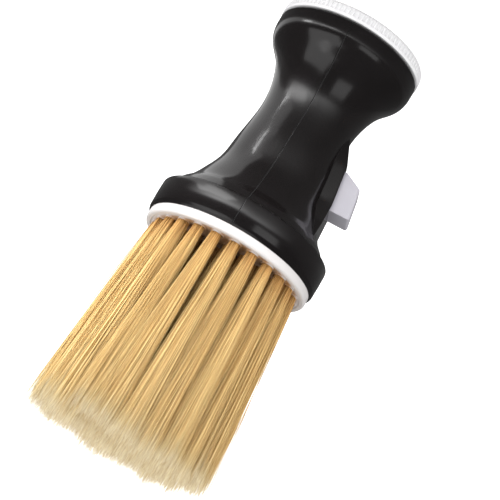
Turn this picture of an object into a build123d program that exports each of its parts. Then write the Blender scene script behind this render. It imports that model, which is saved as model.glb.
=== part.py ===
from build123d import *
import os

# Neck duster brush with a powder dispenser in its handle.
# Millimetres. +Z runs from the refill cap to the bristles, and the brush stands on its cap.
# The origin is the centre of the cap's flat face. The trigger points along +X, and the two
# handle shells meet on the plane X = 0.

# ---------------------------------------------------------------- driving dimensions
total_height = 175.0
rim_r = 33.9  # handle rim round the bristle plate
rim_z = 97.3
rim_round = 2.0  # height over which the rim rounds in to the plate
waist_r = 17.9
waist_z = 41.0
cap_end_r = 28.6
wall = 2.2
slip = 0.05  # running and assembly clearance
gap = 0.3  # gap round parts that must not rub

cap_t = 5.0  # height of the cap outside the handle
cap_r = 28.7
cap_band = 1.2  # smooth band between the cap's ribs and the handle
cap_rib_count = 96
cap_rib_r = 0.5
thread_pitch = 3.0
thread_turns = 1.25
thread_depth = 0.9
spigot_r = 22.3
spigot_top = 13.0
neck_r = 23.6  # inside of the tank's threaded neck

trigger_low, trigger_high = 50.0, 66.0
trigger_tip = 32.3
trigger_half = 6.0
trigger_travel = 6.0
boss_half = 12.6
boss_front = 24.6

valve_r = 15.2
valve_base = 50.6
valve_split = 62.05  # where the cover sits on the body
valve_top = 64.6
valve_flat = 12.4  # front flat, clear of the pressed trigger
gate_low, gate_high = 54.0, 62.0
gate_half = 5.0
gate_mid = (gate_low + gate_high) / 2
gate_neck_width, gate_neck_height = 9.6, 7.6  # neck of the trigger that meets the gate
gate_rear = -5.5
gate_shoulder = 15.0
nose_width, nose_height, nose_length = 5.0, 4.6, 6.4  # the gate's nose, pressed into the trigger
spring_bore_r, spring_bore_depth = 2.6, 5.8
spring_r, spring_wire_r, spring_turns = 2.05, 0.25, 6
channel_rear = -13.5
port_r = 3.0
drain_r = 4.4  # spout of the tank, let into the valve body
seal_r = 4.75
seal_t = 0.8
screw_ring_r = 10.8
screw_r, screw_head_r, screw_head_t = 1.0, 1.9, 1.2
tube_r = 4.0
tube_socket = 1.3
tube_top = 90.8
nozzle_r = 4.6
nozzle_floor = 97.9
nozzle_hole_r = 0.7

plate_face = 100.4
plate_back = 92.4
plate_skirt_low = 90.45
plate_skirt_r = 29.2
plate_rim_r = 32.9
plate_rim_top = 100.7
plate_rim_round = 1.0
plate_body_r = 31.6
hub_low, hub_r = 88.4, 6.4
collar_t, collar_h = 0.5, 0.6
tuft_root_r = 1.8
tuft_hole_r = 2.15
tuft_tip_r = 3.7
hole_floor = 94.4
tuft_floor = 95.9
cross_z = 98.0  # height at which a tuft's axis passes through the middle of its hole
anchor_t, anchor_width, anchor_height = 0.5, 3.2, 1.3
# Name of each ring of tufts: number, radius of the ring at the plate, radius at the tips.
# Each ring starts half a pitch from the trigger's side.
tuft_rings = {
    "tufts_outer": (24, 27.4, 31.3),
    "tufts_middle": (19, 19.8, 23.6),
    "tufts_inner": (12, 12.7, 15.9),
    "tufts_core": (6, 7.6, 8.3),
}

# ---------------------------------------------------------------- outlines
# Radius and height along the handle's outside, from the cap end up to the rim's shoulder.
outside = [
    (cap_end_r, 9.0),
    (27.4, 14.2),
    (23.6, 19.2),
    (20.2, 26.0),
    (waist_r, waist_z),
    (19.8, 57.0),
    (21.1, 66.5),
    (24.2, 74.0),
    (27.8, 80.2),
    (31.2, 84.6),
    (33.4, 88.0),
    (34.0, 91.5),
]
# The same along its inside, about one wall thickness in.
inside = [
    (cap_end_r - wall - 0.1, 9.0),
    (25.6, 13.0),
    (21.6, 18.8),
    (18.0, 26.0),
    (waist_r - wall, waist_z),
    (17.6, 57.0),
    (18.8, 66.5),
    (21.5, 75.8),
    (25.2, 82.6),
]
up = (0, 1)
bore_r = plate_body_r + slip * 2  # handle bore that takes the bristle plate

front_half = Plane(origin=(0, 0, 0), x_dir=(0, -1, 0), z_dir=(-1, 0, 0))
back_half = Plane(origin=(0, 0, 0), x_dir=(0, 1, 0), z_dir=(1, 0, 0))


# Full outer section of the handle, from its outline to the axis.
with BuildSketch() as handle_section:
    with BuildLine():
        foot = Polyline((0, cap_t + 0.2), (cap_end_r - 0.7, cap_t + 0.2), (cap_end_r, 6.0), outside[0])
        side = Spline(*outside, tangents=[up, up])
        wall_line = Line(side @ 1, (rim_r, rim_z - rim_round))
        lip = RadiusArc(wall_line @ 1, (rim_r - 0.9, rim_z), -2.4)
        Polyline(lip @ 1, (0, rim_z), foot @ 0)
    make_face()

# Section of the hollow inside the handle, with the groove that the plate snaps into.
groove_low, groove_high, groove_depth = 92.0, 93.8, 0.4
ledge_r, ledge_z = 30.2, 90.4  # the plate's skirt rests on this ledge at the foot of the bore
with BuildSketch() as cavity_section:
    with BuildLine():
        foot = Polyline((0, 0), (inside[0][0], 0), inside[0])
        side = Spline(*inside, tangents=[up, (0.8, 0.6)])
        bore = Polyline(
            side @ 1,
            (ledge_r, 87.4),
            (ledge_r, ledge_z),
            (bore_r, ledge_z),
            (bore_r, groove_low),
            (bore_r + groove_depth, groove_low + groove_depth),
        )
        Polyline(
            bore @ 1,
            (bore_r + groove_depth, groove_high - groove_depth),
            (bore_r, groove_high),
            (bore_r, rim_z + 1),
            (0, rim_z + 1),
            foot @ 0,
        )
    make_face()


def boss_face(front, front_half, root, half):
    """Cross-section of the trigger boss: a flat front, and flanks that curve back into the waist."""
    with BuildSketch() as section:
        with BuildLine():
            Polyline((6, half), (6, -half), (root, -half))
            lower = TangentArc((root, -half), (front, -front_half), tangent=(1, 0))
            upper = TangentArc((root, half), (front, front_half), tangent=(1, 0))
            Line(lower @ 1, upper @ 1)
            Line((root, half), (6, half))
        make_face()
    return section.sketch


# Boss cross-sections from the shoulder down to the cap side: height, then the front's place and
# half width, and where the flanks start and their half width.
boss_sections = [
    (80.5, boss_front, 12.0, 23.4, boss_half),
    (72.5, boss_front - 0.1, 8.9, 20.0, 9.8),
    (64.0, boss_front - 0.4, 7.4, 17.5, 8.1),
    (48.0, boss_front - 2.6, 7.2, 13.5, 7.8),
    (36.5, waist_r - 0.6, 4.0, 10.0, 6.0),
]
# Its hollow, one wall in, with a flat inside face for the trigger's lip.
hollow_front = 20.5
hollow_half = 7.2
hollow_sections = [
    (75.0, hollow_front, hollow_half + 0.2, 18.0, hollow_half + 0.6),
    (64.0, hollow_front, hollow_half - 0.2, 15.5, hollow_half),
    (47.0, hollow_front, hollow_half - 0.4, 12.5, hollow_half - 0.2),
    (43.0, waist_r - wall, 4.5, 9.0, hollow_half - 0.4),
]
# Joining pins between the shells, on pillars that run out to the wall: Y, Z, pillar length.
pin_places = [(-15.2, 71.5, 12.8), (15.2, 71.5, 12.8), (-20.0, 81.5, 13.8), (20.0, 81.5, 13.8)]
pillar_r, pin_r, pin_length = 2.2, 1.2, 3.0
rib_r = 13.6  # inner edge of the rib that holds the valve down
neck_rib = (24.7, 9.4, 10.6)  # radius, low, high: the rib in the tank's neck groove


def half_rib(outer_r, inner_r, low, high, side):
    """A flat rib round the inside of one shell. Side is 1 for the trigger shell, -1 for the back."""
    with BuildPart() as rib:
        with BuildSketch(Plane.XY.offset(low)):
            Circle(outer_r)
            Circle(inner_r, mode=Mode.SUBTRACT)
            with Locations((-side * outer_r, 0)):
                Rectangle(2 * outer_r, 2 * outer_r, mode=Mode.SUBTRACT)
        extrude(amount=high - low)
    return rib.part


def shell_ribs(side):
    """One rib over the valve, and one in the groove of the tank's neck."""
    return [
        half_rib(19.5, rib_r, 65.0, 66.4, side),
        half_rib(27.2, neck_rib[0], neck_rib[1], neck_rib[2], side),
    ]


def pillars(side):
    """The pillars that carry the joining pins, from the parting plane out to the wall."""
    with BuildPart() as posts:
        for y, z, reach in pin_places:
            with BuildSketch(Plane.YZ):
                with Locations((y, z)):
                    Circle(pillar_r)
            extrude(amount=side * reach)
    return posts.part


# ---------------------------------------------------------------- handle, trigger side
with BuildPart() as handle_shell_front:
    with BuildSketch(front_half):
        add(handle_section.sketch)
    revolve(axis=Axis.Z, revolution_arc=180)
    for height, front, front_half, root, half in boss_sections:
        with BuildSketch(Plane.XY.offset(height)):
            add(boss_face(front, front_half, root, half))
    loft(ruled=True)
    with BuildSketch(Plane.XZ):
        add(cavity_section.sketch)
    revolve(axis=Axis.Z, mode=Mode.SUBTRACT)
    add(shell_ribs(1))
    # pillars, each with a pin that reaches into the other shell
    add(pillars(1))
    for y, z, _ in pin_places:
        with BuildSketch(Plane.YZ):
            with Locations((y, z)):
                Circle(pin_r)
        extrude(amount=-pin_length)
    # room for the trigger inside the boss, and its slot
    for height, front, front_half, root, half in hollow_sections:
        with BuildSketch(Plane.XY.offset(height)):
            add(boss_face(front, front_half, root, half))
    loft(ruled=True, mode=Mode.SUBTRACT)
    with BuildSketch(Plane.YZ.offset(hollow_front - 1)):
        with Locations((0, (trigger_low + trigger_high) / 2)):
            Rectangle(2 * (trigger_half + gap), trigger_high - trigger_low + 2 * gap)
    extrude(amount=8, mode=Mode.SUBTRACT)
handle_shell_front.part.label = "handle_shell_front"

# ---------------------------------------------------------------- handle, back
with BuildPart() as handle_shell_back:
    with BuildSketch(back_half):
        add(handle_section.sketch)
    revolve(axis=Axis.Z, revolution_arc=180)
    with BuildSketch(Plane.XZ):
        add(cavity_section.sketch)
    revolve(axis=Axis.Z, mode=Mode.SUBTRACT)
    add(shell_ribs(-1))
    add(pillars(-1))
    for y, z, _ in pin_places:
        with BuildSketch(Plane.YZ):
            with Locations((y, z)):
                Circle(pin_r + slip)
        extrude(amount=-pin_length - gap, mode=Mode.SUBTRACT)
handle_shell_back.part.label = "handle_shell_back"

# ---------------------------------------------------------------- powder tank
# A bottle with its mouth towards the cap. Its cone-shaped end drains into the valve.
neck_lip = cap_t + 0.9
tank_thread_start = 8.3
cap_thread_start = tank_thread_start - thread_pitch / 2
with BuildPart() as powder_tank:
    with BuildSketch(Plane.XZ):
        with BuildLine():
            neck = Polyline(
                (neck_r, 13.2),
                (neck_r, neck_lip),
                (25.4, neck_lip),
                (25.4, neck_rib[1] - 0.1),
                (neck_rib[0] - 0.1, neck_rib[1] - 0.1),
                (neck_rib[0] - 0.1, neck_rib[2] + 0.1),
                (25.4, neck_rib[2] + 0.1),
                (25.4, 11.8),
            )
            outer = Spline(
                neck @ 1, (25.0, 13.2), (21.1, 18.8), (17.5, 26.0), (15.2, waist_z), tangents=[up, up]
            )
            drain = Polyline(
                outer @ 1, (15.2, 47.5), (4.4, 50.2), (4.4, 52.2), (port_r, 52.2), (port_r, 49.2),
                (13.9, 46.2), (13.9, waist_z),
            )
            Spline(drain @ 1, (16.2, 26.0), (19.8, 18.8), neck @ 0, tangents=[(0, -1), (0.3, -1)])
        make_face()
    revolve(axis=Axis.Z)
    tank_helix = Helix(
        thread_pitch,
        thread_pitch * thread_turns,
        neck_r,
        center=(0, 0, tank_thread_start),
        mode=Mode.PRIVATE,
    )
    with BuildSketch(Plane(origin=tank_helix @ 0, x_dir=(-1, 0, 0), z_dir=tank_helix % 0)):
        with BuildLine():
            Polyline((-0.2, -0.8), (thread_depth, -0.4), (thread_depth, 0.4), (-0.2, 0.8), close=True)
        make_face()
    sweep(path=tank_helix, is_frenet=True)
powder_tank.part.label = "powder_tank"

# ---------------------------------------------------------------- refill cap
with BuildPart() as refill_cap:
    # ribbed disc, cut to a rounded rim, with a smooth band next to the handle
    with BuildSketch():
        Circle(cap_r - 0.3)
        with PolarLocations(cap_r - 0.3, cap_rib_count):
            Circle(cap_rib_r)
    extrude(amount=cap_t)
    with BuildSketch(Plane.XZ):
        with BuildLine():
            Polyline((0, 0), (cap_r - 2.0, 0))
            RadiusArc((cap_r - 2.0, 0), (cap_r + 0.2, 2.2), -2.2)
            Polyline((cap_r + 0.2, 2.2), (cap_r + 0.2, cap_t), (0, cap_t), (0, 0))
        make_face()
    revolve(axis=Axis.Z, mode=Mode.INTERSECT)
    with BuildSketch(Plane.XY.offset(cap_t - cap_band)):
        Circle(cap_r + 0.2)
    extrude(amount=cap_band)
    # threaded spigot
    with BuildSketch(Plane.XY.offset(cap_t)):
        Circle(spigot_r)
    extrude(amount=spigot_top - cap_t)
    cap_helix = Helix(
        thread_pitch,
        thread_pitch * thread_turns,
        spigot_r,
        center=(0, 0, cap_thread_start),
        mode=Mode.PRIVATE,
    )
    with BuildSketch(Plane(origin=cap_helix @ 0, x_dir=(1, 0, 0), z_dir=cap_helix % 0)):
        with BuildLine():
            Polyline((-0.2, -0.8), (thread_depth, -0.4), (thread_depth, 0.4), (-0.2, 0.8), close=True)
        make_face()
    sweep(path=cap_helix, is_frenet=True)
    # hollow from inside
    with BuildSketch(Plane.XY.offset(2.0)):
        Circle(spigot_r - 1.8)
    extrude(amount=spigot_top, mode=Mode.SUBTRACT)
refill_cap.part.label = "refill_cap"

with BuildPart() as cap_seal:
    with BuildSketch(Plane.XY.offset(cap_t + slip)):
        Circle(25.2)
        Circle(spigot_r + thread_depth + gap, mode=Mode.SUBTRACT)
    extrude(amount=seal_t)
cap_seal.part.label = "cap_seal"

# ---------------------------------------------------------------- trigger and valve gate
lip_x = hollow_front - 0.1  # outer face of the lip that keeps the trigger in
lip_t = 1.6
lip_side, lip_end = 0.55, 1.3  # how far the lip stands out beside the trigger and beyond its ends
with BuildPart() as trigger_button:
    with BuildSketch(Plane.XZ.offset(-trigger_half)):
        with BuildLine():
            Polyline(
                (lip_x - lip_t, trigger_low),
                (trigger_tip - 9.1, trigger_low),
                (trigger_tip - 2.0, trigger_low + 3.6),
                (trigger_tip, trigger_high),
                (lip_x - lip_t, trigger_high),
                close=True,
            )
        make_face()
    extrude(amount=2 * trigger_half)
    fillet(trigger_button.faces().sort_by(Axis.X)[-1].edges(), 0.9)
    with BuildSketch(Plane.YZ.offset(lip_x - lip_t)):
        with Locations((0, (trigger_low + trigger_high) / 2)):
            Rectangle(2 * (trigger_half + lip_side), trigger_high - trigger_low + 2 * lip_end)
    extrude(amount=lip_t)
    # neck that reaches back to the gate, and the pocket for the gate's nose
    with BuildSketch(Plane.YZ.offset(gate_shoulder + slip)):
        with Locations((0, gate_mid)):
            Rectangle(gate_neck_width, gate_neck_height)
    extrude(amount=lip_x - lip_t - gate_shoulder)
    with BuildSketch(Plane.YZ.offset(gate_shoulder)):
        with Locations((0, gate_mid)):
            Rectangle(nose_width + slip, nose_height + slip)
    extrude(amount=nose_length + 0.2, mode=Mode.SUBTRACT)
trigger_button.part.label = "trigger_button"

with BuildPart() as valve_gate:
    with BuildSketch(Plane.YZ.offset(gate_rear)):
        with Locations((0, gate_mid)):
            Rectangle(2 * gate_half, gate_high - gate_low)
    extrude(amount=gate_shoulder - gate_rear)
    with BuildSketch(Plane.YZ.offset(gate_shoulder)):
        with Locations((0, gate_mid)):
            Rectangle(nose_width, nose_height)
    extrude(amount=nose_length)
    # powder port, one travel away from the fixed ports, and the bore for the spring
    with BuildSketch(Plane.XY.offset(gate_low)):
        with Locations((trigger_travel, 0)):
            Circle(port_r)
    extrude(amount=gate_high - gate_low, mode=Mode.SUBTRACT)
    with BuildSketch(Plane.YZ.offset(gate_rear)):
        with Locations((0, gate_mid)):
            Circle(spring_bore_r)
    extrude(amount=spring_bore_depth, mode=Mode.SUBTRACT)
valve_gate.part.label = "valve_gate"

spring_front = gate_rear + spring_bore_depth
with BuildPart() as return_spring:
    spring_length = spring_front - channel_rear - 2 * spring_wire_r - 2 * slip
    spring_path = Helix(
        spring_length / spring_turns,
        spring_length,
        spring_r,
        center=(channel_rear + spring_wire_r + slip, 0, gate_mid),
        direction=(1, 0, 0),
        mode=Mode.PRIVATE,
    )
    with BuildSketch(Plane(origin=spring_path @ 0, z_dir=spring_path % 0)):
        Circle(spring_wire_r)
    sweep(path=spring_path, is_frenet=True)
return_spring.part.label = "return_spring"

# ---------------------------------------------------------------- valve body
channel_low = gate_low - slip
with BuildPart() as valve_body:
    with BuildSketch(Plane.XY.offset(valve_base)):
        Circle(valve_r)
        with Locations((valve_flat + 5, 0)):
            Rectangle(10, 40, mode=Mode.SUBTRACT)
    extrude(amount=valve_split - valve_base)
    with BuildSketch(Plane.XY.offset(channel_low)):
        with Locations(((channel_rear + 20) / 2, 0)):
            Rectangle(20 - channel_rear, 2 * (gate_half + slip))
    extrude(amount=valve_split - channel_low, mode=Mode.SUBTRACT)
    with BuildSketch(Plane.XY.offset(valve_base)):
        Circle(drain_r + slip)
    extrude(amount=1.7, mode=Mode.SUBTRACT)
    with BuildSketch(Plane.XY.offset(valve_base)):
        Circle(port_r)
    extrude(amount=5, mode=Mode.SUBTRACT)
    with BuildSketch(Plane.XY.offset(channel_low - seal_t - slip)):
        Circle(seal_r + slip)
    extrude(amount=2, mode=Mode.SUBTRACT)
    with BuildSketch(Plane.XY.offset(valve_base + 2)):
        with PolarLocations(screw_ring_r, 4, start_angle=45):
            Circle(screw_r)
    extrude(amount=10, mode=Mode.SUBTRACT)
valve_body.part.label = "valve_body"

with BuildPart() as valve_cover:
    with BuildSketch(Plane.XY.offset(valve_split)):
        Circle(valve_r)
        Circle(port_r, mode=Mode.SUBTRACT)
        with Locations((valve_flat + 5, 0)):
            Rectangle(10, 40, mode=Mode.SUBTRACT)
        with PolarLocations(screw_ring_r, 4, start_angle=45):
            Circle(screw_r, mode=Mode.SUBTRACT)
    extrude(amount=valve_top - valve_split)
    with BuildSketch(Plane.XY.offset(valve_split)):
        Circle(seal_r + slip)
    extrude(amount=seal_t + slip, mode=Mode.SUBTRACT)
    with BuildSketch(Plane.XY.offset(valve_top - tube_socket)):
        Circle(tube_r + slip)
    extrude(amount=2, mode=Mode.SUBTRACT)
valve_cover.part.label = "valve_cover"

with BuildPart() as valve_seal_lower:
    with BuildSketch(Plane.XY.offset(channel_low - seal_t - slip)):
        Circle(seal_r)
        Circle(port_r, mode=Mode.SUBTRACT)
    extrude(amount=seal_t)
valve_seal_lower.part.label = "valve_seal_lower"

with BuildPart() as valve_seal_upper:
    with BuildSketch(Plane.XY.offset(valve_split + slip)):
        Circle(seal_r)
        Circle(port_r, mode=Mode.SUBTRACT)
    extrude(amount=seal_t)
valve_seal_upper.part.label = "valve_seal_upper"

with BuildPart() as valve_screws:
    with BuildSketch(Plane.XY.offset(valve_base + 3)):
        with PolarLocations(screw_ring_r, 4, start_angle=45):
            Circle(screw_r)
    extrude(amount=valve_top - valve_base - 3)
    with BuildSketch(Plane.XY.offset(valve_top)):
        with PolarLocations(screw_ring_r, 4, start_angle=45):
            Circle(screw_head_r)
    extrude(amount=screw_head_t)
    with BuildSketch(Plane.XY.offset(valve_top + screw_head_t / 2)):
        with PolarLocations(screw_ring_r, 4, start_angle=45):
            Rectangle(2.4, 0.5)
            Rectangle(0.5, 2.4)
    extrude(amount=1, mode=Mode.SUBTRACT)
valve_screws.part.label = "valve_screws"

# ---------------------------------------------------------------- outlet
with BuildPart() as outlet_tube:
    with BuildSketch(Plane.XY.offset(valve_top - tube_socket + slip)):
        Circle(tube_r)
        Circle(port_r, mode=Mode.SUBTRACT)
    extrude(amount=tube_top - valve_top + tube_socket - slip)
outlet_tube.part.label = "outlet_tube"

with BuildPart() as powder_nozzle:
    with BuildSketch(Plane.XY.offset(nozzle_floor)):
        Circle(nozzle_r)
        Circle(port_r, mode=Mode.SUBTRACT)
    extrude(amount=2.0)
    with BuildSketch(Plane.XY.offset(nozzle_floor + 2.0)):
        Circle(nozzle_r)
        Circle(nozzle_hole_r, mode=Mode.SUBTRACT)
        with PolarLocations(2.4, 6):
            Circle(nozzle_hole_r, mode=Mode.SUBTRACT)
    extrude(amount=1.4)
powder_nozzle.part.label = "powder_nozzle"

# ---------------------------------------------------------------- bristle plate
snap = 0.35  # height of the ridge that snaps into the handle's groove
with BuildPart() as bristle_plate:
    with BuildSketch(Plane.XZ):
        with BuildLine():
            Polyline(
                (0, plate_back),
                (plate_skirt_r, plate_back),
                (plate_skirt_r, plate_skirt_low),
                (plate_body_r - 0.4, plate_skirt_low),
                (plate_body_r, plate_skirt_low + 0.6),
                (plate_body_r, groove_low + 0.4),
                (plate_body_r + snap, groove_low + 0.8),
                (plate_body_r + snap, groove_low + 1.1),
                (plate_body_r, groove_low + 1.5),
                (plate_body_r, rim_z + slip),
                (plate_rim_r, rim_z + slip),
                (plate_rim_r, plate_rim_top - plate_rim_round),
            )
            RadiusArc(
                (plate_rim_r, plate_rim_top - plate_rim_round),
                (plate_rim_r - plate_rim_round, plate_rim_top),
                -plate_rim_round,
            )
            Polyline(
                (plate_rim_r - plate_rim_round, plate_rim_top),
                (31.0, plate_rim_top),
                (30.6, plate_face),
                (0, plate_face),
                (0, plate_back),
            )
        make_face()
    revolve(axis=Axis.Z)
    # hub that takes the outlet tube
    with BuildSketch(Plane.XY.offset(hub_low)):
        Circle(hub_r)
    extrude(amount=plate_back - hub_low)
    with BuildSketch(Plane.XY.offset(hub_low)):
        Circle(tube_r + slip)
    extrude(amount=tube_top + 0.1 - hub_low, mode=Mode.SUBTRACT)
    with BuildSketch(Plane.XY.offset(hub_low)):
        Circle(port_r)
    extrude(amount=plate_face - hub_low, mode=Mode.SUBTRACT)
    with BuildSketch(Plane.XY.offset(nozzle_floor)):
        Circle(nozzle_r + slip)
    extrude(amount=4, mode=Mode.SUBTRACT)
    # a collar round each tuft hole, then the blind holes
    for count, root, _ in tuft_rings.values():
        with BuildSketch(Plane.XY.offset(plate_face)):
            with PolarLocations(root, count, start_angle=180 / count):
                Circle(tuft_hole_r + collar_t)
        extrude(amount=collar_h)
    for count, root, _ in tuft_rings.values():
        with BuildSketch(Plane.XY.offset(hole_floor)):
            with PolarLocations(root, count, start_angle=180 / count):
                Circle(tuft_hole_r)
        extrude(amount=8, mode=Mode.SUBTRACT)
bristle_plate.part.label = "bristle_plate"

# ---------------------------------------------------------------- bristle tufts
# Each tuft is a solid bundle that leans outwards and swells towards its blunt, rounded tip.


def tuft(root, tip):
    """One tuft of a ring, on the +X side: its radius grows evenly along a straight leaning axis."""
    sections = [(tuft_floor, 0.0), (total_height - 2.5, 0.0), (total_height, 0.9)]
    with BuildPart() as bundle:
        for z, rounding in sections:
            share = (z - cross_z) / (total_height - cross_z)
            radius = tuft_root_r + (tuft_tip_r - tuft_root_r) * max(share, 0) - rounding
            with BuildSketch(Plane.XY.offset(z)):
                with Locations((root + (tip - root) * share, 0)):
                    Circle(radius)
        loft(ruled=True)
    return bundle.part


rings = []
for name, (count, root, tip) in tuft_rings.items():
    one_tuft = tuft(root, tip)
    with BuildPart() as ring:
        with PolarLocations(0, count, start_angle=180 / count):
            add(one_tuft)
    ring.part.label = name
    rings.append(ring)

with BuildPart() as tuft_anchors:
    for count, root, _ in tuft_rings.values():
        with BuildSketch(Plane.XY.offset(hole_floor)):
            with PolarLocations(root, count, start_angle=180 / count):
                Rectangle(anchor_t, anchor_width)
        extrude(amount=anchor_height)
tuft_anchors.part.label = "tuft_anchors"

# ---------------------------------------------------------------- export
os.makedirs("parts", exist_ok=True)
nodes = [
    handle_shell_front,
    handle_shell_back,
    powder_tank,
    refill_cap,
    cap_seal,
    trigger_button,
    valve_gate,
    return_spring,
    valve_body,
    valve_cover,
    valve_seal_lower,
    valve_seal_upper,
    valve_screws,
    outlet_tube,
    powder_nozzle,
    bristle_plate,
    *rings,
    tuft_anchors,
]
for node in nodes:
    export_step(node.part, f"parts/{node.part.label}.step")
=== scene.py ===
import math

import bmesh
import bpy
import numpy as np
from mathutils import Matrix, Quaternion, Vector


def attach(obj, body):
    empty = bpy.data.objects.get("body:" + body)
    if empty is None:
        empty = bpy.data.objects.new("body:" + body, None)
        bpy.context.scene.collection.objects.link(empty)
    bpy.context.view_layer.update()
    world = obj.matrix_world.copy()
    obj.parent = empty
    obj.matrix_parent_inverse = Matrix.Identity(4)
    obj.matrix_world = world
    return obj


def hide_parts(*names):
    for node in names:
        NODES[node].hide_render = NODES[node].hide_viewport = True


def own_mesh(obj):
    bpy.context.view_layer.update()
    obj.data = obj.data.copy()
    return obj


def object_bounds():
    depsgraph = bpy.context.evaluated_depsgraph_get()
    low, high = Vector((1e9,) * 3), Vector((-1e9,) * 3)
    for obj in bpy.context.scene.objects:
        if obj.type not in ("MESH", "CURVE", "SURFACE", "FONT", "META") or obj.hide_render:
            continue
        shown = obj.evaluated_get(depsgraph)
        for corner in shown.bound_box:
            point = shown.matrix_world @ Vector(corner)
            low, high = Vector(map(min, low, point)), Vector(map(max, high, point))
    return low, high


# The neck duster brush in a white studio, seen as in the photo. The CAD nodes keep their places and
# get finishes; the CAD's solid tufts and plain spring give way to separate strands and a closed coil.

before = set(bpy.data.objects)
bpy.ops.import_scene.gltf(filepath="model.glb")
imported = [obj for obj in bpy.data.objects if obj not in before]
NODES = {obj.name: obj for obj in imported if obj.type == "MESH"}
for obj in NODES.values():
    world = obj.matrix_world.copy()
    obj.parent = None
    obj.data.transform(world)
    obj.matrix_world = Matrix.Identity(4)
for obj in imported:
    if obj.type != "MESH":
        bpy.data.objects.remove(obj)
CAD_LO, CAD_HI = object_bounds()

MM = 0.001

# ---------------------------------------------------------------- the brush head, in millimetres
CAD_TOP = round(CAD_HI.z / MM, 3)  # the CAD's tufts end flat here
# name, tufts, ring radius at the holes, ring radius at the tips, tips past the CAD's, strands in one tuft
TUFT_RINGS = [
    ("tufts_outer", 24, 27.4, 31.3, 0.6, 440),
    ("tufts_middle", 19, 19.8, 23.6, 1.8, 300),
    ("tufts_inner", 12, 12.7, 15.9, 3.0, 300),
    ("tufts_core", 6, 7.6, 7.2, 3.6, 300),
]
TIP_RING = TUFT_RINGS[0][3]
TIP_SLANT = 5.0  # how much longer the tufts are on the side that SLANT_WAY points to
SLANT_WAY = np.array([0.13, 0.99])  # a direction in X and Y, to the side that the photo shows
ROOT_Z = 96.4  # the strands start inside the plate's holes
ROOT_R = 1.8  # radius of a tuft at its root
TIP_R = 4.2  # radius of a tuft at its tip
STRAND_R = 0.105
POINTS = 9  # points along one strand
SIDES = 3  # of one strand
TAPER_FROM = 0.7  # part of its length where a strand starts to thin
LOCKS = 15  # locks that one tuft's strands gather into
STRAYS, SHORT_ONES, PROUD_ONES = 0.02, 0.15, 0.08  # shares of the strands
MOST_SHORT, MOST_PROUD = 5.0, 3.5
COLOUR_COLUMNS = 256  # columns of the strand UV map, each with a shade of its own
MOST_FACES = 190000  # triangles in one piece of strands

# ---------------------------------------------------------------- the return spring, in millimetres
SPRING_TURNS = 7.0
SPRING_WIRE_R, SPRING_MEAN_R = 0.25, 2.05
SPRING_START_X, SPRING_END_X, SPRING_Z = -13.2, 0.0, 58.0
CLOSED_END = 0.12  # part of the coil at each end that is wound without a pitch


# ---------------------------------------------------------------- shader helpers
class Nodes:
    """A node tree with the few node recipes that every finish here shares."""

    def __init__(self, tree):
        self.tree = tree

    def node(self, kind, **values):
        made = self.tree.nodes.new(kind)
        for key, value in values.items():
            setattr(made, key, value)
        return made

    def link(self, source, target):
        self.tree.links.new(source, target)

    def place(self):
        """Frame coordinates in metres, the same for every node of the object."""
        return self.node("ShaderNodeTexCoord").outputs["Object"]

    def noise(self, scale, detail=3.0, stretch=None):
        """Noise whose cells are about 1/scale metres across."""
        where = self.place()
        if stretch:
            scaled = self.node("ShaderNodeMapping")
            scaled.inputs["Scale"].default_value = stretch
            self.link(where, scaled.inputs["Vector"])
            where = scaled.outputs["Vector"]
        made = self.node("ShaderNodeTexNoise")
        made.inputs["Scale"].default_value = scale
        made.inputs["Detail"].default_value = detail
        self.link(where, made.inputs["Vector"])
        return made.outputs["Fac"]

    def ranged(self, value, low, high, to_low, to_high, smooth=False):
        """The value mapped from low..high to to_low..to_high and held at the ends."""
        made = self.node("ShaderNodeMapRange")
        if smooth:
            made.interpolation_type = "SMOOTHSTEP"
        numbers = (low, high, to_low, to_high)
        for socket, number in zip(("From Min", "From Max", "To Min", "To Max"), numbers):
            made.inputs[socket].default_value = number
        self.link(value, made.inputs["Value"])
        return made.outputs["Result"]

    def math(self, operation, a, b=None):
        """One math step; each operand is a number or an output socket."""
        made = self.node("ShaderNodeMath", operation=operation)
        for socket, value in zip(made.inputs, (a, b)):
            if isinstance(value, (int, float)):
                socket.default_value = value
            elif value is not None:
                self.link(value, socket)
        return made.outputs["Value"]

    def mix(self, factor, a, b):
        """Mixes two colours; each is a colour or an output socket."""
        made = self.node("ShaderNodeMix", data_type="RGBA")
        self.link(factor, made.inputs["Factor"])
        for socket, value in zip(("A", "B"), (a, b)):
            target = next(i for i in made.inputs if i.name == socket and i.type == "RGBA")
            if isinstance(value, tuple):
                target.default_value = (*value, 1.0)
            else:
                self.link(value, target)
        return next(o for o in made.outputs if o.type == "RGBA")

    def edges(self, radius):
        """(normal rounded over the edges, mask that is 1 along them)."""
        rounded = self.node("ShaderNodeBevel", samples=6)
        rounded.inputs["Radius"].default_value = radius
        flat = self.node("ShaderNodeNewGeometry")
        dot = self.node("ShaderNodeVectorMath", operation="DOT_PRODUCT")
        self.link(rounded.outputs["Normal"], dot.inputs[0])
        self.link(flat.outputs["Normal"], dot.inputs[1])
        # The cosine between the rounded and the true normal drops where an edge is near.
        return rounded.outputs["Normal"], self.ranged(dot.outputs["Value"], 0.995, 0.80, 0.0, 1.0)


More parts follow.
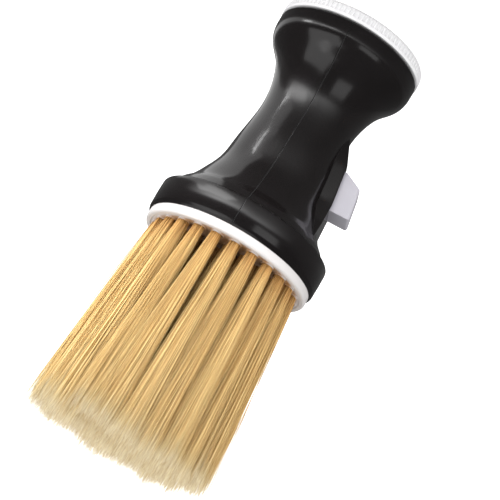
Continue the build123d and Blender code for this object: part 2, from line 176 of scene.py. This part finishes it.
class Shader(Nodes):
    """One node material around a Principled BSDF."""

    def __init__(self, name):
        self.mat = bpy.data.materials.new(name)
        self.mat.use_nodes = True
        super().__init__(self.mat.node_tree)
        self.bsdf = self.tree.nodes["Principled BSDF"]

    def bump(self, height, strength, distance, normal):
        """Links a bumped normal to the finish and returns it, so that a later bump can go on top."""
        made = self.node("ShaderNodeBump")
        made.inputs["Strength"].default_value = strength
        made.inputs["Distance"].default_value = distance
        self.link(height, made.inputs["Height"])
        self.link(normal, made.inputs["Normal"])
        self.link(made.outputs["Normal"], self.bsdf.inputs["Normal"])
        return made.outputs["Normal"]


def axis_value(s, axis):
    """One frame coordinate in metres."""
    parts = s.node("ShaderNodeSeparateXYZ")
    s.link(s.place(), parts.inputs[0])
    return parts.outputs[axis]


def arch_along_z(s, low_z, high_z):
    """Height that rises smoothly from 0 to 1 and falls back between two heights: a soft swell."""
    u = s.ranged(axis_value(s, "Z"), low_z, high_z, 0.0, 1.0)
    arch = s.math("MULTIPLY", s.math("MULTIPLY", u, s.math("SUBTRACT", 1.0, u)), 4.0)
    return s.math("POWER", arch, 2.0)


def seam_mask(s, full, clear):
    """1 on the parting plane X = 0 and 0 from `clear` metres beside it."""
    off = s.math("ABSOLUTE", axis_value(s, "X"))
    return s.ranged(off, full, clear, 1.0, 0.0, smooth=True)


def shade_between_tufts_mask(s, clear_r, full_r):
    """Painted shade among the tuft roots: an uneven mask that is 0 outside `clear_r` from the axis and
    strongest inside `full_r`.
    """
    flat = s.node("ShaderNodeVectorMath", operation="MULTIPLY")
    flat.inputs[1].default_value = (1.0, 1.0, 0.0)
    s.link(s.place(), flat.inputs[0])
    radius = s.node("ShaderNodeVectorMath", operation="LENGTH")
    s.link(flat.outputs["Vector"], radius.inputs[0])
    inside = s.ranged(radius.outputs["Value"], clear_r, full_r, 0.0, 1.0, smooth=True)
    return s.math("MULTIPLY", inside, s.ranged(s.noise(260.0, 4.0), 0.3, 0.7, 0.6, 1.0))


def moulded(name, colours, rough, edge, peel, gloss=0.5, seam=None, shade_between_tufts=None, swell=None):
    """Injection-moulded plastic: a slight mottle, fine orange peel, edges rubbed duller and paler.

    colours: the plain one, the mottle's and the worn edges'
    seam: the two distances of seam_mask, for a fine groove along the parting plane
    shade_between_tufts: a colour and the two radii of shade_between_tufts_mask, for painted shade among
    the tuft roots
    swell: the two heights of arch_along_z and the rise between them
    """
    colour, shade, worn = colours
    s = Shader(name)
    s.bsdf.inputs["Specular IOR Level"].default_value = gloss
    normal, rim = s.edges(edge)
    mottle = s.ranged(s.noise(55.0, 4.0), 0.35, 0.65, 0.0, 1.0)
    rubbed = s.math("MULTIPLY", rim, s.ranged(s.noise(420.0, 5.0), 0.42, 0.62, 0.15, 1.0))
    base = s.mix(mottle, colour, shade)
    base = s.mix(s.math("MULTIPLY", rubbed, 0.55), base, worn)
    smear = s.ranged(s.noise(38.0, 5.0, stretch=(1.0, 1.0, 0.35)), 0.3, 0.7, rough * 0.85, rough * 1.2)
    dull = s.math("ADD", smear, s.math("MULTIPLY", rubbed, 0.12))
    height = s.noise(900.0, 2.0)
    if swell:
        low_z, high_z, rise = swell
        normal = s.bump(arch_along_z(s, low_z, high_z), 1.0, rise, normal)
    if seam:
        groove = seam_mask(s, *seam)
        base = s.mix(groove, base, (0.002, 0.002, 0.002))
        dull = s.math("ADD", dull, s.math("MULTIPLY", groove, 0.35))
        height = s.math("SUBTRACT", height, s.math("MULTIPLY", groove, 9.0))
    # Painted shade: the plate darkens to brown among the tuft roots, where the dense tufts shade it.
    if shade_between_tufts:
        shade_colour, clear_r, full_r = shade_between_tufts
        base = s.mix(shade_between_tufts_mask(s, clear_r, full_r), base, shade_colour)
    s.link(base, s.bsdf.inputs["Base Color"])
    s.link(dull, s.bsdf.inputs["Roughness"])
    s.bump(height, peel, 0.02 * MM, normal)
    return s.mat


def milky(name):
    """Translucent natural polypropylene, cloudy, with a faint dusting of powder."""
    s = Shader(name)
    normal = s.edges(0.3 * MM)[0]
    cloud = s.ranged(s.noise(70.0, 5.0), 0.3, 0.7, 0.0, 1.0)
    base = s.mix(cloud, (0.80, 0.81, 0.78), (0.90, 0.90, 0.88))
    dust = s.ranged(s.noise(300.0, 6.0), 0.5, 0.7, 0.0, 0.8)
    s.link(s.mix(dust, base, (0.93, 0.93, 0.92)), s.bsdf.inputs["Base Color"])
    s.link(s.ranged(s.noise(120.0, 4.0), 0.3, 0.7, 0.38, 0.62), s.bsdf.inputs["Roughness"])
    s.bsdf.inputs["Subsurface Weight"].default_value = 0.35
    s.bsdf.inputs["Subsurface Radius"].default_value = (0.003, 0.003, 0.003)
    s.bump(s.noise(500.0, 3.0), 0.15, 0.03 * MM, normal)
    return s.mat


def rubber(name):
    """Matt black seal rubber with a fine grain and greyed edges."""
    s = Shader(name)
    normal, rim = s.edges(0.2 * MM)
    grain = s.ranged(s.noise(800.0, 4.0), 0.35, 0.65, 0.0, 1.0)
    base = s.mix(grain, (0.020, 0.020, 0.022), (0.045, 0.045, 0.047))
    s.link(s.mix(s.math("MULTIPLY", rim, 0.6), base, (0.10, 0.10, 0.10)), s.bsdf.inputs["Base Color"])
    s.link(s.ranged(s.noise(600.0, 3.0), 0.3, 0.7, 0.62, 0.85), s.bsdf.inputs["Roughness"])
    s.bump(s.noise(2500.0, 2.0), 0.3, 0.03 * MM, normal)
    return s.mat


def metal(name, colour, dark, rough, stretch):
    """Drawn or turned metal: fine lines along the work, slightly darker in patches."""
    s = Shader(name)
    s.bsdf.inputs["Metallic"].default_value = 1.0
    normal, rim = s.edges(0.15 * MM)
    lines = s.noise(500.0, 4.0, stretch=stretch)
    patch = s.ranged(s.noise(200.0, 3.0), 0.35, 0.7, 0.0, 0.7)
    base = s.mix(patch, colour, dark)
    s.link(s.mix(s.math("MULTIPLY", rim, 0.7), base, (0.85, 0.84, 0.82)), s.bsdf.inputs["Base Color"])
    s.link(s.ranged(lines, 0.3, 0.7, rough, rough + 0.2), s.bsdf.inputs["Roughness"])
    s.bump(lines, 0.2, 0.02 * MM, normal)
    return s.mat


# Position along a strand, from its root to its tip, and its colour there. The brown near the root is
# partly the filaments' own colour and partly painted shade deep among the tufts.
STRAW_AND_ROOT_SHADE_COLOURS = [
    (0.00, (0.520, 0.260, 0.080)),
    (0.07, (0.760, 0.460, 0.165)),
    (0.16, (0.900, 0.645, 0.275)),
    (0.60, (0.945, 0.718, 0.330)),
    (0.88, (0.945, 0.735, 0.355)),
    (0.95, (0.930, 0.795, 0.465)),
    (1.00, (0.945, 0.885, 0.670)),
]
DEEPEST_TINT = (0.575, 0.455, 0.34)  # multiplies the colour of the darkest strands


def straw(name):
    """Fine nylon filaments. U tells one strand from another, V runs from the root to the tip."""
    s = Shader(name)
    s.bsdf.inputs["Specular IOR Level"].default_value = 0.22
    uv = s.node("ShaderNodeUVMap", uv_map="OFBake")
    part = s.node("ShaderNodeSeparateXYZ")
    s.link(uv.outputs["UV"], part.inputs[0])
    column = s.math("FLOOR", s.math("MULTIPLY", part.outputs["X"], COLOUR_COLUMNS))
    chance = s.node("ShaderNodeTexWhiteNoise", noise_dimensions="1D")
    s.link(column, chance.inputs["W"])
    along = s.node("ShaderNodeValToRGB")
    ramp = along.color_ramp
    while len(ramp.elements) < len(STRAW_AND_ROOT_SHADE_COLOURS):
        ramp.elements.new(0.5)
    for element, (position, colour) in zip(ramp.elements, STRAW_AND_ROOT_SHADE_COLOURS):
        element.position = position
        element.color = (*colour, 1.0)
    s.link(part.outputs["Y"], along.inputs["Fac"])
    tint = s.mix(chance.outputs["Value"], DEEPEST_TINT, (1.0, 1.0, 1.0))
    tinted = s.node("ShaderNodeMix", data_type="RGBA", blend_type="MULTIPLY")
    tinted.inputs["Factor"].default_value = 1.0
    colours = [socket for socket in tinted.inputs if socket.type == "RGBA"]
    s.link(along.outputs["Color"], colours[0])
    s.link(tint, colours[1])
    out = next(socket for socket in tinted.outputs if socket.type == "RGBA")
    s.link(out, s.bsdf.inputs["Base Color"])
    s.link(s.ranged(chance.outputs["Value"], 0.0, 1.0, 0.38, 0.55), s.bsdf.inputs["Roughness"])
    return s.mat


# ---------------------------------------------------------------- mesh helpers
def placed(name, data):
    """A new object for a mesh, lamp or camera, put in the scene."""
    made = bpy.data.objects.new(name, data)
    bpy.context.scene.collection.objects.link(made)
    return made


def smooth(mesh):
    """Shades every face of the mesh smooth."""
    for polygon in mesh.polygons:
        polygon.use_smooth = True


# ---------------------------------------------------------------- strands
def disc(count, jitter, rng):
    """Points spread evenly over the unit disc."""
    k = np.arange(count) + 0.5
    radius = np.sqrt(k / count)
    angle = k * math.pi * (3.0 - math.sqrt(5.0))
    points = np.stack([radius * np.cos(angle), radius * np.sin(angle)], 1)
    return points + rng.normal(0.0, jitter, points.shape)


def within(points, radius):
    """The points pulled back onto the disc of that radius."""
    length = np.linalg.norm(points, axis=1, keepdims=True)
    return points * np.minimum(1.0, radius / np.maximum(length, 1e-9))


def strand_ends(rng, count):
    """(place at the root, place at the tip, lock) of each strand; places are in tuft radii."""
    locks = within(disc(LOCKS, 0.10, rng), 0.9)
    own = rng.integers(0, LOCKS, count)
    at_root = within(locks[own] + rng.normal(0.0, 0.17, (count, 2)), 1.0)
    at_tip = locks[own] * 1.05 + (at_root - locks[own]) * 1.3 + rng.normal(0.0, 0.19, (count, 2))
    at_tip += rng.normal(0.0, 0.10, (LOCKS, 2))[own]  # each lock leans its own way
    stray = rng.random(count) < STRAYS
    at_tip[stray] += rng.normal(0.0, 0.45, (int(stray.sum()), 2))
    return at_root, at_tip, own


def tip_heights(rng, top, own):
    """Heights of the strands' tips: tufts, their locks and their strands all differ a little."""
    count = len(own)
    tip_z = top + rng.normal(0.0, 1.2) + rng.normal(0.0, 1.0, LOCKS)[own] + rng.normal(0.0, 0.9, count)
    short = rng.random(count) < SHORT_ONES
    tip_z[short] -= rng.uniform(0.0, MOST_SHORT, int(short.sum()))
    proud = rng.random(count) < PROUD_ONES
    tip_z[proud] += rng.uniform(0.0, MOST_PROUD, int(proud.sum()))
    return tip_z


def tuft_paths(rng, root_xy, tip_xy, top, count):
    """Centre lines of one tuft's strands, an array (strand, point, xyz) in millimetres."""
    at_root, at_tip, own = strand_ends(rng, count)
    tip_z = tip_heights(rng, top, own)
    t = np.linspace(0.0, 1.0, POINTS)[None, :, None]
    spread = t ** 0.9  # sideways, so that a tuft opens a little faster near its root
    share = np.concatenate([spread, spread, t], 2)
    start = np.concatenate([root_xy + at_root * ROOT_R, np.full((count, 1), ROOT_Z)], 1)
    end = np.concatenate([tip_xy + at_tip * TIP_R, tip_z[:, None]], 1)
    path = start[:, None, :] * (1.0 - share) + end[:, None, :] * share
    phase = rng.uniform(0.0, 2.0 * math.pi, (count, 1, 2))
    waves = rng.uniform(0.6, 1.6, (count, 1, 2))
    size = rng.normal(0.0, 0.22, (count, 1, 2)) * t ** 1.2
    path[:, :, :2] += size * (np.sin(2 * math.pi * waves * t + phase) - np.sin(phase))
    return path


def strand_points(paths, rng):
    """The corners of three-sided tapering strands, in metres, strand after strand from root to tip."""
    count = len(paths)
    t = np.linspace(0.0, 1.0, POINTS)
    taper = np.where(t < TAPER_FROM, 1.0, 1.0 - 0.75 * ((t - TAPER_FROM) / (1.0 - TAPER_FROM)) ** 1.5)
    thick = STRAND_R * rng.uniform(0.75, 1.2, (count, 1)) * taper[None, :]
    turn = rng.uniform(0.0, 2.0 * math.pi, (count, 1))
    rings = []
    for k in range(SIDES):
        angle = turn + k * 2.0 * math.pi / SIDES
        ring = paths.copy()
        ring[:, :, 0] += thick * np.cos(angle)
        ring[:, :, 1] += thick * np.sin(angle)
        rings.append(ring)
    return np.stack(rings, 2).reshape(-1, 3) * MM


def strand_faces(count):
    """(corner of each loop, first loop of each face): quads along the strands, a triangle on each tip."""
    base = (np.arange(count) * POINTS * SIDES)[:, None, None, None]
    row = (np.arange(POINTS - 1) * SIDES)[None, :, None, None]
    k = np.arange(SIDES)
    after = (k + 1) % SIDES
    quad = np.stack([k, after, after + SIDES, k + SIDES], 1)[None, None, :, :]
    sides = (base + row + quad).reshape(-1, 4)
    tips = (base[:, 0, 0] + (POINTS - 1) * SIDES + k[None, :]).reshape(-1, SIDES)
    loops = np.concatenate([sides.ravel(), tips.ravel()])
    starts = np.concatenate([np.arange(len(sides)) * 4, len(sides) * 4 + np.arange(len(tips)) * SIDES])
    return loops, starts


def strand_uv(count, rng):
    """UV of each corner: U picks the strand's colour column, V runs from the root to the tip."""
    t = np.linspace(0.0, 1.0, POINTS)
    column = (rng.integers(0, COLOUR_COLUMNS, count) + 0.5) / COLOUR_COLUMNS
    shift = np.array([-0.22, 0.0, 0.22]) / COLOUR_COLUMNS  # one for each side of the strand
    u = (column[:, None, None] + shift[None, None, :]) * np.ones((1, POINTS, 1))
    v = np.broadcast_to(t[None, :, None], u.shape)
    return np.stack([u, v], -1).reshape(-1, 2)


def strand_piece(name, paths, rng):
    """A mesh of three-sided strands along the given paths, with the strand UV map."""
    co = strand_points(paths, rng)
    loops, starts = strand_faces(len(paths))
    mesh = bpy.data.meshes.new(name)
    mesh.vertices.add(len(co))
    mesh.vertices.foreach_set("co", co.astype(np.float32).ravel())
    mesh.loops.add(len(loops))
    mesh.loops.foreach_set("vertex_index", loops.astype(np.int32))
    mesh.polygons.add(len(starts))
    mesh.polygons.foreach_set("loop_start", starts.astype(np.int32))
    mesh.polygons.foreach_set("use_smooth", np.ones(len(starts), bool))
    mesh.update(calc_edges=True)
    uv = strand_uv(len(paths), rng)[loops]
    layer = mesh.uv_layers.new(name="OFBake")
    layer.data.foreach_set("uv", uv.astype(np.float32).ravel())
    mesh.validate()
    return placed(name, mesh)


def grow(ring, number, material):
    """All the strands of one ring of tufts, split into pieces of a handy size."""
    name, tufts, root_ring, tip_ring, past_cad, strands = ring
    rng = np.random.default_rng(41 + number)
    paths = []
    for i in range(tufts):
        angle = 2.0 * math.pi * (i + 0.5) / tufts
        way = np.array([math.cos(angle), math.sin(angle)])
        tip_xy = way * (tip_ring + rng.normal(0.0, 0.25)) + rng.normal(0.0, 0.35, 2)
        slant = TIP_SLANT * 0.5 * (1.0 + float(tip_xy @ SLANT_WAY) / TIP_RING)
        top = CAD_TOP + past_cad + slant
        paths.append(tuft_paths(rng, way * root_ring, tip_xy, top, strands))
    paths = np.concatenate(paths)
    triangles_each = (POINTS - 1) * SIDES * 2 + 1
    parts = math.ceil(len(paths) * triangles_each / MOST_FACES)
    ring_name = name.removeprefix("tufts_")
    for k, chunk in enumerate(np.array_split(paths, parts)):
        piece = strand_piece(f"strands_{ring_name}_{k + 1}", chunk, rng)
        piece.data.materials.append(material)
        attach(piece, "handle")
        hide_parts(name)


# ---------------------------------------------------------------- return spring
def spring_piece(material):
    """Coil spring along X behind the gate, with closed end turns."""
    steps, around = 260, 10
    along = Vector((1, 0, 0))
    low_x = SPRING_START_X + SPRING_WIRE_R
    length = SPRING_END_X - SPRING_START_X - 2 * SPRING_WIRE_R
    built = bmesh.new()
    rings = []
    for i in range(steps + 1):
        t = i / steps
        pitched = min(max((t - CLOSED_END) / (1.0 - 2 * CLOSED_END), 0.0), 1.0)
        a = 2 * math.pi * SPRING_TURNS * t
        out = Vector((0.0, math.cos(a), math.sin(a)))
        centre = Vector((low_x + length * pitched, 0.0, SPRING_Z)) + out * SPRING_MEAN_R
        ring = []
        for k in range(around):
            b = 2 * math.pi * k / around
            corner = centre + (out * math.cos(b) + along * math.sin(b)) * SPRING_WIRE_R
            ring.append(built.verts.new(corner * MM))
        rings.append(ring)
    for one, two in zip(rings, rings[1:]):
        for k in range(around):
            built.faces.new((one[k], one[(k + 1) % around], two[(k + 1) % around], two[k]))
    built.faces.new(list(reversed(rings[0])))
    built.faces.new(rings[-1])
    bmesh.ops.recalc_face_normals(built, faces=built.faces)
    mesh = bpy.data.meshes.new("spring_coil")
    built.to_mesh(mesh)
    built.free()
    smooth(mesh)
    mesh.materials.append(material)
    piece = placed("spring_coil", mesh)
    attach(piece, "handle")
    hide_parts("return_spring")
    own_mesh(piece)


# ---------------------------------------------------------------- the object
black = moulded(
    "black_plastic",
    # The slight warm tint of these blacks is a painted reflection of warm surroundings.
    [(0.0046, 0.0036, 0.0037), (0.0066, 0.0054, 0.0055), (0.036, 0.034, 0.033)],
    rough=0.155,
    edge=0.45 * MM,
    peel=0.03,
    seam=(0.07 * MM, 0.20 * MM),
    swell=(82.5 * MM, 99.5 * MM, 1.25 * MM),  # the rim at the bristle end looks rounder than its wall
)
white = moulded(
    "white_plastic",
    [(0.77, 0.765, 0.77), (0.72, 0.715, 0.725), (0.83, 0.83, 0.83)],
    rough=0.34,
    edge=0.25 * MM,
    peel=0.12,
)
plate_white = moulded(
    "plate_plastic",
    [(0.60, 0.58, 0.57), (0.55, 0.53, 0.52), (0.72, 0.71, 0.70)],
    rough=0.36,
    edge=0.25 * MM,
    peel=0.12,
    # Painted shade among the tuft roots, inside the plate's raised rim.
    shade_between_tufts=((0.42, 0.22, 0.08), 30.4 * MM, 29.0 * MM),  # inside the plate's raised rim
)
lilac = moulded(
    "trigger_plastic",
    [(0.40, 0.39, 0.43), (0.37, 0.355, 0.395), (0.52, 0.51, 0.55)],
    rough=0.38,
    edge=0.35 * MM,
    peel=0.14,
)
grey = moulded(
    "grey_plastic",
    [(0.30, 0.31, 0.33), (0.25, 0.26, 0.28), (0.44, 0.44, 0.45)],
    rough=0.42,
    edge=0.25 * MM,
    peel=0.16,
    gloss=0.45,
)
cloudy = milky("milky_plastic")
seal = rubber("seal_rubber")
spring_steel = metal("spring_steel", (0.62, 0.61, 0.60), (0.42, 0.41, 0.40), 0.22, (1.0, 1.0, 1.0))
screw_steel = metal("screw_steel", (0.60, 0.60, 0.61), (0.45, 0.45, 0.46), 0.26, (1.0, 1.0, 6.0))
anchor_steel = metal("anchor_steel", (0.66, 0.60, 0.45), (0.46, 0.40, 0.28), 0.28, (1.0, 1.0, 4.0))
straw_fibre = straw("bristle")

FINISH = {
    "handle_shell_front": black,
    "handle_shell_back": black,
    "bristle_plate": plate_white,
    "refill_cap": white,
    "trigger_button": lilac,
    "valve_gate": grey,
    "valve_body": grey,
    "valve_cover": grey,
    "powder_tank": cloudy,
    "outlet_tube": cloudy,
    "powder_nozzle": grey,
    "cap_seal": seal,
    "valve_seal_lower": seal,
    "valve_seal_upper": seal,
    "valve_screws": screw_steel,
    "tuft_anchors": anchor_steel,
}
for name, material in FINISH.items():
    materials = NODES[name].data.materials
    materials.clear()
    materials.append(material)

for node in NODES.values():
    mesh = node.data
    if mesh.attributes.get("custom_normal"):
        mesh.attributes.remove(mesh.attributes["custom_normal"])
    smooth(mesh)
    weld = node.modifiers.new("weld", "WELD")
    weld.merge_threshold = 0.002 * MM
    split = node.modifiers.new("crisp", "EDGE_SPLIT")
    split.split_angle = math.radians(32.0)

for number, ring in enumerate(TUFT_RINGS):
    grow(ring, number, straw_fibre)
spring_piece(spring_steel)


# ---------------------------------------------------------------- camera
# The photo's view: from the brush's +Y side, a little above, and rolled so that the bristles point
# to the lower left.
AZIMUTH, ELEVATION, ROLL = math.radians(172.5), math.radians(17.5), math.radians(149.5)
DISTANCE = 0.8  # metres
FOCAL_PX, SIDE_PX = 2205.0, 500.0  # focal length and picture side, both in pixels
SENSOR = 36.0
AIM_Z, AIM_ACROSS = 0.095, 0.00664  # metres along the axis, and across the picture from there
back = Vector((
    math.sin(AZIMUTH) * math.cos(ELEVATION),
    -math.cos(AZIMUTH) * math.cos(ELEVATION),
    math.sin(ELEVATION),
))
turn = (-back).to_track_quat("-Z", "Y") @ Quaternion((0, 0, 1), -ROLL)
aim = Vector((0, 0, AIM_Z)) + turn @ Vector((1, 0, 0)) * AIM_ACROSS
camera = placed("camera", bpy.data.cameras.new("camera"))
camera.data.sensor_width = SENSOR
camera.data.lens = SENSOR * FOCAL_PX / SIDE_PX
camera.data.clip_start = 0.01
camera.rotation_mode = "QUATERNION"
camera.rotation_quaternion = turn
camera.location = aim + back * DISTANCE
bpy.context.scene.camera = camera


# ---------------------------------------------------------------- studio, in metres and degrees
FLOOR_HALF = 6.0
FLOOR_LIFT = 0.55  # glow that turns the floor white for the camera
# Two soft patches of light on the floor, seen by the object only: azimuth, distance from the axis,
# radius and brightness.
FLOOR_GLOWS = [(128, 0.34, 0.27, 5.6), (78, 0.40, 0.36, 2.4)]
SKY_PLAIN, SKY_SEEN, SKY_MIRRORED = 1.25, 1.0, 0.10  # for light, for the camera, in reflections
MIDDLE_Z = 0.09  # about half way up the brush
SIDE_BOX_FAR = 1.0


def on_floor(azimuth, far, z=0.0):
    """A point `far` metres from the axis; azimuth 0 is +X and 90 is +Y."""
    a = math.radians(azimuth)
    return Vector((far * math.cos(a), far * math.sin(a), z))


def glow(s, azimuth, far, radius, peak):
    """Brightness of a soft-edged patch of the floor `far` metres from the axis."""
    away = s.node("ShaderNodeVectorMath", operation="DISTANCE")
    s.link(s.place(), away.inputs[0])
    away.inputs[1].default_value = on_floor(azimuth, far)
    return s.ranged(away.outputs["Value"], 0.0, radius, peak, 0.0, smooth=True)


def studio_floor():
    """A wide pale sweep that the object stands on. It mirrors darker, as under black flags."""
    mesh = bpy.data.meshes.new("floor")
    corners = [(x * FLOOR_HALF, y * FLOOR_HALF, 0) for x, y in ((-1, -1), (1, -1), (1, 1), (-1, 1))]
    mesh.from_pydata(corners, [], [(0, 1, 2, 3)])
    floor = placed("floor", mesh)
    s = Shader("floor")
    s.bsdf.inputs["Roughness"].default_value = 0.95
    s.bsdf.inputs["Specular IOR Level"].default_value = 0.0
    s.bsdf.inputs["Emission Color"].default_value = (1.0, 1.0, 1.0, 1.0)
    path = s.node("ShaderNodeLightPath")
    pale = s.mix(s.noise(6.0), (0.86, 0.86, 0.86), (0.88, 0.88, 0.88))
    s.link(s.mix(path.outputs["Is Glossy Ray"], pale, (0.10, 0.10, 0.10)), s.bsdf.inputs["Base Color"])
    camera_ray = path.outputs["Is Camera Ray"]
    soft = s.math("ADD", *[glow(s, *patch) for patch in FLOOR_GLOWS])
    others = s.math("MULTIPLY", s.math("SUBTRACT", 1.0, camera_ray), soft)
    lift = s.math("MULTIPLY", camera_ray, FLOOR_LIFT)
    s.link(s.math("ADD", others, lift), s.bsdf.inputs["Emission Strength"])
    mesh.materials.append(s.mat)


def studio_sky():
    """A white world that is brighter as light than to the camera, and dark in reflections."""
    world = bpy.data.worlds.new("studio")
    bpy.context.scene.world = world
    world.use_nodes = True
    sky = world.node_tree.nodes["Background"]
    sky.inputs["Color"].default_value = (1.0, 1.0, 1.0, 1.0)
    s = Nodes(world.node_tree)
    path = s.node("ShaderNodeLightPath")
    seen = s.math("MULTIPLY", path.outputs["Is Camera Ray"], SKY_SEEN - SKY_PLAIN)
    mirrored = s.math("MULTIPLY", path.outputs["Is Glossy Ray"], SKY_MIRRORED - SKY_PLAIN)
    s.link(s.math("ADD", s.math("ADD", seen, mirrored), SKY_PLAIN), sky.inputs["Strength"])


def softbox(name, centre, rotation, size, radiance):
    """A flat area light, `size` metres across, that shines along its own -Z and can't be seen."""
    lamp = bpy.data.lights.new(name, "AREA")
    lamp.shape = "RECTANGLE"
    lamp.size, lamp.size_y = size
    lamp.energy = math.pi * size[0] * size[1] * radiance
    place = placed(name, lamp)
    place.location = centre
    place.rotation_mode = "QUATERNION"
    place.rotation_quaternion = rotation
    place.visible_camera = False


def floor_panel(name, azimuth, far, size, radiance):
    """A panel that lies on the floor and shines up: size along and across the way to the axis."""
    rotation = Quaternion((0, 0, 1), math.radians(azimuth)) @ Quaternion((1, 0, 0), math.pi)
    softbox(name, on_floor(azimuth, far, 2 * MM), rotation, size, radiance)


def side_box(name, azimuth, elevation, size, radiance):
    """A softbox that faces the middle of the brush."""
    rise = math.radians(elevation)
    out = on_floor(azimuth, SIDE_BOX_FAR * math.cos(rise), SIDE_BOX_FAR * math.sin(rise))
    rotation = (-out).to_track_quat("-Z", "Y")
    softbox(name, Vector((0, 0, MIDDLE_Z)) + out, rotation, size, radiance)


studio_sky()
studio_floor()
floor_panel("floor_panel_left", 136, 0.175, (0.09, 0.15), 3.4)
floor_panel("floor_panel_back", 182, 0.10, (0.10, 0.16), 1.0)
floor_panel("streak_strip", 152, 0.112, (0.036, 0.022), 17.0)
side_box("upper_window", 131, 32, (0.95, 0.66), 1.2)
side_box("top_window", 160, 72, (1.0, 1.0), 0.9)
side_box("front_window", 56, 8, (0.60, 0.30), 1.2)
bpy.context.scene.view_settings.view_transform = "Standard"
